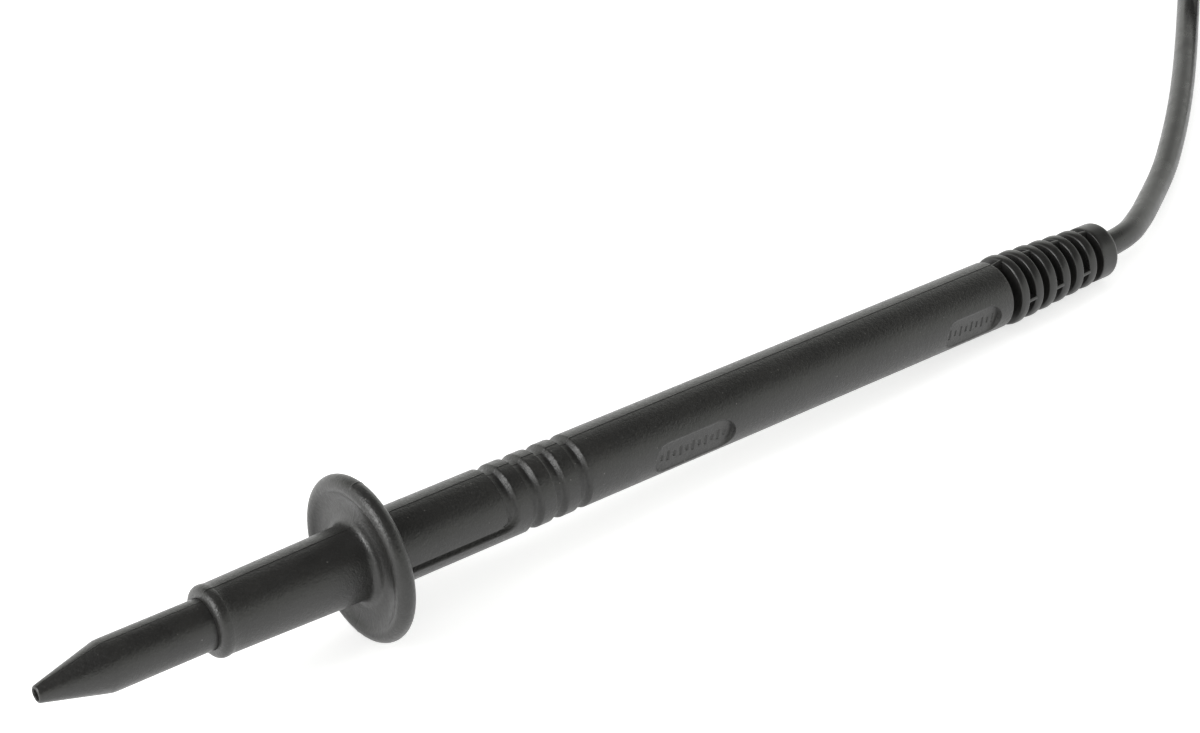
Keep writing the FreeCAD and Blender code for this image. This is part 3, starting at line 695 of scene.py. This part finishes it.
def route_coil():
    """Four turns inwards on the floor, then three outwards on top of them, clockwise."""
    points = []
    swept = COIL_FIRST - COIL_LAST + 2 * math.pi * len(COIL_TURNS)
    count = round(swept / (2 * math.pi) * COIL_STEPS)
    for step in range(count + 1):
        turns = swept / (2 * math.pi) * step / count
        here = int(turns)
        move = smooth(0.78, 1.0, turns - here)
        following = min(here + 1, len(COIL_TURNS) - 1)
        radius = COIL_TURNS[here] + (COIL_TURNS[following] - COIL_TURNS[here]) * move
        lift = smooth(3.78, 4.0, turns)
        height = COIL_LOW + (COIL_HIGH - COIL_LOW) * lift
        angle = COIL_FIRST - 2 * math.pi * turns
        away = math.atan2(math.sin(angle - TIE_ANGLE), math.cos(angle - TIE_ANGLE))
        pinch = math.exp(-((away / TIE_SPREAD) ** 2))
        radius += (COIL_R - radius) * 0.06 * pinch
        height += (COIL_CENTRE - height) * 0.2 * pinch
        flat = Vector((math.cos(angle), math.sin(angle), 0)) * radius
        points.append(COIL_MIDDLE + (flat + Vector((0, 0, height))) * MM)
    return points


def route_back():
    """Off the coil's top, round to the left and into the plug's boot."""
    points = [
        (-30.4, -12.2, 6.2),
        (-40.6, -5.2, 7.2),
        (-43.9, 2.9, 8.4),
        (-42.8, 10.3, 10.4),
        (-38.4, 16.3, 12.6),
        (-32.0, 19.5, 13.6),
        (-25.0, 19.5, 13.6),
    ]
    return [COIL_MIDDLE + Vector(point) * MM for point in points]


def build_lead():
    points = route_out() + route_coil() + route_back()
    data = bpy.data.curves.new("lead", "CURVE")
    data.dimensions = "3D"
    data.bevel_depth = LEAD_R
    data.bevel_resolution = 6
    data.resolution_u = 10
    data.use_fill_caps = True
    spline = data.splines.new("NURBS")
    spline.points.add(len(points) - 1)
    for control, point in zip(spline.points, points):
        control.co = (*point, 1.0)
    spline.order_u = 3
    spline.use_endpoint_u = True
    data.materials.append(LEAD)
    lead = bpy.data.objects.new("lead", data)
    bpy.context.scene.collection.objects.link(lead)
    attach(lead, "probe")
    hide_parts("lead_free", "lead_coil", "lead_tail")
    return lead


# ------------------------------------------------------------------- floor, light, view

FLOOR_SIZE = 6.0
FLOOR_DROP = 0.05 * MM
FLOOR_GLOW = 0.65
TENT_WHITE = 1.2
TENT_DARK = 0.06
LEFT_BOX_W = 3.6
OVERHEAD_W = 5.3
CAMERA_TURN = math.radians(38.12)
CAMERA_RISE = math.radians(34.85)
CAMERA_AIM = Vector((5.6, 16.1, 10.1)) * MM
CAMERA_DISTANCE = 362.3 * MM
CAMERA_LENS = 77.28


def seen_directly(tree):
    """1 for camera, glossy and transmission rays, 0 for the light that falls on things."""
    paths = tree.nodes.new("ShaderNodeLightPath")
    share = paths.outputs["Is Camera Ray"]
    for name in ("Is Glossy Ray", "Is Transmission Ray"):
        larger = tree.nodes.new("ShaderNodeMath")
        larger.operation = "MAXIMUM"
        tree.links.new(share, larger.inputs[0])
        tree.links.new(paths.outputs[name], larger.inputs[1])
        share = larger.outputs[0]
    return share


def build_floor():
    mesh = bpy.data.meshes.new("floor")
    half = FLOOR_SIZE / 2
    corners = [(-half, -half, 0), (half, -half, 0), (half, half, 0), (-half, half, 0)]
    mesh.from_pydata(corners, [], [(0, 1, 2, 3)])
    floor = bpy.data.objects.new("floor", mesh)
    floor.location.z = -FLOOR_DROP
    bpy.context.scene.collection.objects.link(floor)
    n = Nodes("floor_paper")
    n.finish((0.8, 0.8, 0.8, 1.0), 0.9, specular=0.1)
    seen = seen_directly(n.tree)
    glow = n.add("ShaderNodeEmission", {"Color": (1, 1, 1, 1), "Strength": FLOOR_GLOW})
    both = n.add("ShaderNodeAddShader")
    n.tree.links.new(n.shader.outputs[0], both.inputs[0])
    n.tree.links.new(glow.outputs[0], both.inputs[1])
    pick = n.add("ShaderNodeMixShader")
    n.put(pick.inputs[0], seen)
    n.tree.links.new(n.shader.outputs[0], pick.inputs[1])
    n.tree.links.new(both.outputs[0], pick.inputs[2])
    n.tree.links.new(pick.outputs[0], n.tree.nodes["Material Output"].inputs["Surface"])
    mesh.materials.append(n.material)


def build_world():
    """A light tent: white from the horizon up, dark overhead, so that the tops stay black."""
    world = bpy.data.worlds.new("studio")
    bpy.context.scene.world = world
    world.use_nodes = True
    tree = world.node_tree
    background = tree.nodes["Background"]
    place = tree.nodes.new("ShaderNodeTexCoord")
    parts = tree.nodes.new("ShaderNodeSeparateXYZ")
    tree.links.new(place.outputs["Generated"], parts.inputs[0])
    fade = tree.nodes.new("ShaderNodeMapRange")
    fade.interpolation_type = "SMOOTHSTEP"
    heights = (("From Min", 0.34), ("From Max", 0.66), ("To Min", TENT_WHITE), ("To Max", TENT_DARK))
    for key, value in heights:
        fade.inputs[key].default_value = value
    tree.links.new(parts.outputs["Z"], fade.inputs["Value"])
    tree.links.new(fade.outputs["Result"], background.inputs["Strength"])
    background.inputs["Color"].default_value = (0.985, 1.0, 0.955, 1.0)


def add_area(name, place, aim, size, power):
    data = bpy.data.lights.new(name, "AREA")
    data.shape = "RECTANGLE"
    data.size, data.size_y = size
    data.energy = power
    lamp = bpy.data.objects.new(name, data)
    lamp.location = place
    lamp.rotation_euler = (Vector(aim) - Vector(place)).to_track_quat("-Z", "Y").to_euler()
    bpy.context.scene.collection.objects.link(lamp)
    return lamp


def build_lights():
    """A softbox to the left, and an overhead fill that doesn't show in the gloss."""
    add_area("left_box", (-0.62, 0.10, 0.42), (0, 0, 0), (0.35, 0.45), LEFT_BOX_W)
    fill = add_area("overhead_fill", (0.0, 0.0, 1.0), (0, 0, 0), (1.6, 1.6), OVERHEAD_W)
    fill.visible_glossy = False


def build_camera():
    data = bpy.data.cameras.new("camera")
    data.lens = CAMERA_LENS
    data.sensor_width = 36.0
    data.clip_start = 0.01
    camera = bpy.data.objects.new("camera", data)
    look = Vector((
        math.cos(CAMERA_RISE) * math.sin(CAMERA_TURN),
        math.cos(CAMERA_RISE) * math.cos(CAMERA_TURN),
        -math.sin(CAMERA_RISE),
    ))
    camera.location = CAMERA_AIM - look * CAMERA_DISTANCE
    camera.rotation_euler = look.to_track_quat("-Z", "Y").to_euler()
    bpy.context.scene.collection.objects.link(camera)
    bpy.context.scene.camera = camera


# ------------------------------------------------------------------------------- build

dress_carried_nodes()
build_barrel()
build_sleeve()
build_spring()
build_boot()
build_lead()
build_floor()
build_world()
build_lights()
build_camera()
bpy.context.scene.view_settings.view_transform = "Standard"
